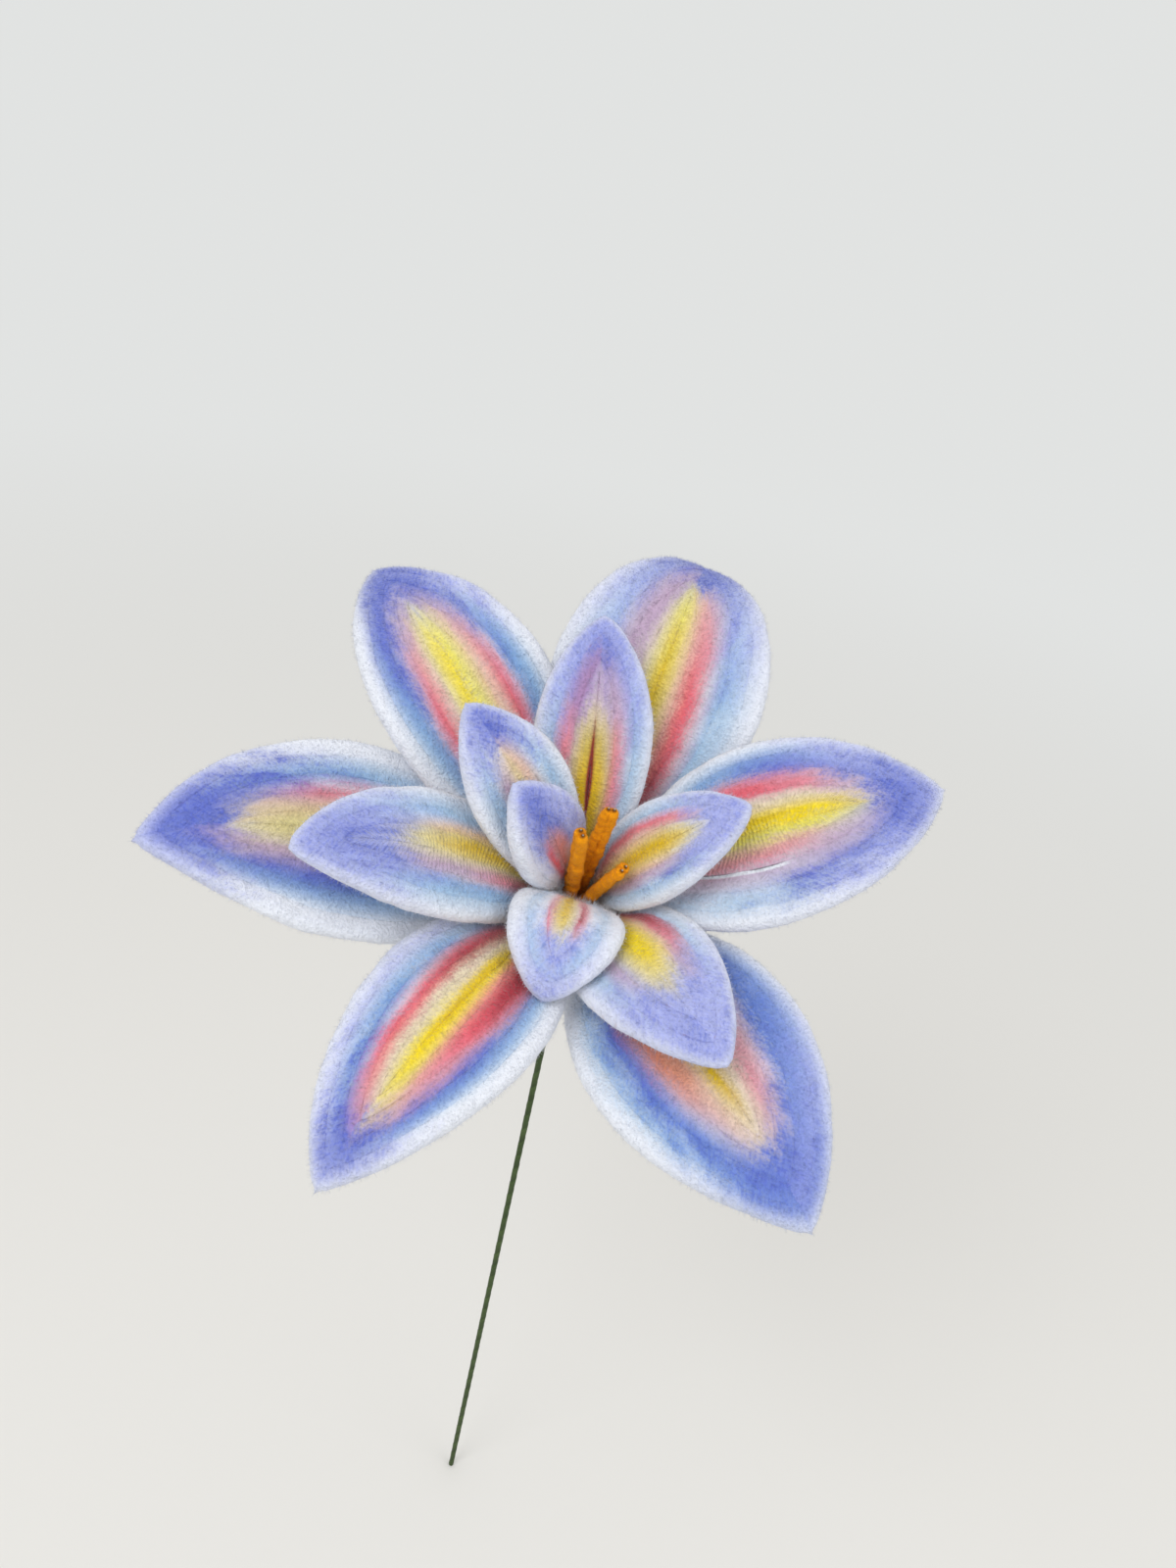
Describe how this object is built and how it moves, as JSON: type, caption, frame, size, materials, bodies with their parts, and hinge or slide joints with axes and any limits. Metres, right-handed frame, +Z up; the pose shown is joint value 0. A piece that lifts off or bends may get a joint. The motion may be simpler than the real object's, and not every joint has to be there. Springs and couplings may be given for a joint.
{
  "type": "chenille stem amaryllis",
  "caption": "Artificial amaryllis flower on a bent wire stem: petals of nested fuzzy chenille stem loops round folded orange stamens, with a taped binding under the flower.",
  "frame": {"origin": "centre of the stem's cut lower end, on the end face of the stem wire", "axes": "+Z up along the straight part of the stem, the flower faces -Y and up, +X to the right as the flower is faced"},
  "size_m": [0.2101, 0.1856, 0.4183],
  "materials": {
    "outer_petal_pile": "plush chenille pile, dyed in bands from white rims through blue, lavender and red to yellow",
    "middle_petal_pile": "plush chenille pile, dyed in bands from pale blue rims through lavender and red to yellow",
    "inner_petal_pile": "plush chenille pile, pale blue and lavender, red and yellow towards the base",
    "stamen_pile": "short dense orange chenille pile",
    "stamen_wire": "thin cut steel wire",
    "stem_wire": "cut steel wire",
    "stem_tape": "waxed dark green crepe paper tape, wound on in a spiral"
  },
  "bodies": {
    "root": {"outer_petal_1_loop_1": "outer_petal_pile", "outer_petal_1_loop_2": "outer_petal_pile", "outer_petal_1_loop_3": "outer_petal_pile", "outer_petal_1_loop_4": "outer_petal_pile", "outer_petal_1_loop_5": "outer_petal_pile", "outer_petal_2_loop_1": "outer_petal_pile", "outer_petal_2_loop_2": "outer_petal_pile", "outer_petal_2_loop_3": "outer_petal_pile", "outer_petal_2_loop_4": "outer_petal_pile", "outer_petal_2_loop_5": "outer_petal_pile", "outer_petal_3_loop_1": "outer_petal_pile", "outer_petal_3_loop_2": "outer_petal_pile", "outer_petal_3_loop_3": "outer_petal_pile", "outer_petal_3_loop_4": "outer_petal_pile", "outer_petal_3_loop_5": "outer_petal_pile", "outer_petal_4_loop_1": "outer_petal_pile", "outer_petal_4_loop_2": "outer_petal_pile", "outer_petal_4_loop_3": "outer_petal_pile", "outer_petal_4_loop_4": "outer_petal_pile", "outer_petal_4_loop_5": "outer_petal_pile", "outer_petal_5_loop_1": "outer_petal_pile", "outer_petal_5_loop_2": "outer_petal_pile", "outer_petal_5_loop_3": "outer_petal_pile", "outer_petal_5_loop_4": "outer_petal_pile", "outer_petal_5_loop_5": "outer_petal_pile", "outer_petal_6_loop_1": "outer_petal_pile", "outer_petal_6_loop_2": "outer_petal_pile", "outer_petal_6_loop_3": "outer_petal_pile", "outer_petal_6_loop_4": "outer_petal_pile", "outer_petal_6_loop_5": "outer_petal_pile", "middle_petal_1_loop_1": "middle_petal_pile", "middle_petal_1_loop_2": "middle_petal_pile", "middle_petal_1_loop_3": "middle_petal_pile", "middle_petal_2_loop_1": "middle_petal_pile", "middle_petal_2_loop_2": "middle_petal_pile", "middle_petal_2_loop_3": "middle_petal_pile", "middle_petal_3_loop_1": "middle_petal_pile", "middle_petal_3_loop_2": "middle_petal_pile", "middle_petal_3_loop_3": "middle_petal_pile", "middle_petal_4_loop_1": "middle_petal_pile", "middle_petal_4_loop_2": "middle_petal_pile", "middle_petal_4_loop_3": "middle_petal_pile", "inner_petal_1_loop_1": "inner_petal_pile", "inner_petal_1_loop_2": "inner_petal_pile", "inner_petal_1_loop_3": "inner_petal_pile", "inner_petal_2_loop_1": "inner_petal_pile", "inner_petal_2_loop_2": "inner_petal_pile", "inner_petal_2_loop_3": "inner_petal_pile", "inner_petal_3_loop_1": "inner_petal_pile", "inner_petal_3_loop_2": "inner_petal_pile", "inner_petal_3_loop_3": "inner_petal_pile", "stamen_pile_1": "stamen_pile", "stamen_wire_1": "stamen_wire", "stamen_pile_2": "stamen_pile", "stamen_wire_2": "stamen_wire", "stamen_pile_3": "stamen_pile", "stamen_wire_3": "stamen_wire", "stem_wire": "stem_wire", "stem_tape": "stem_tape", "binding_tape": "stem_tape"}
  },
  "joints": []
}
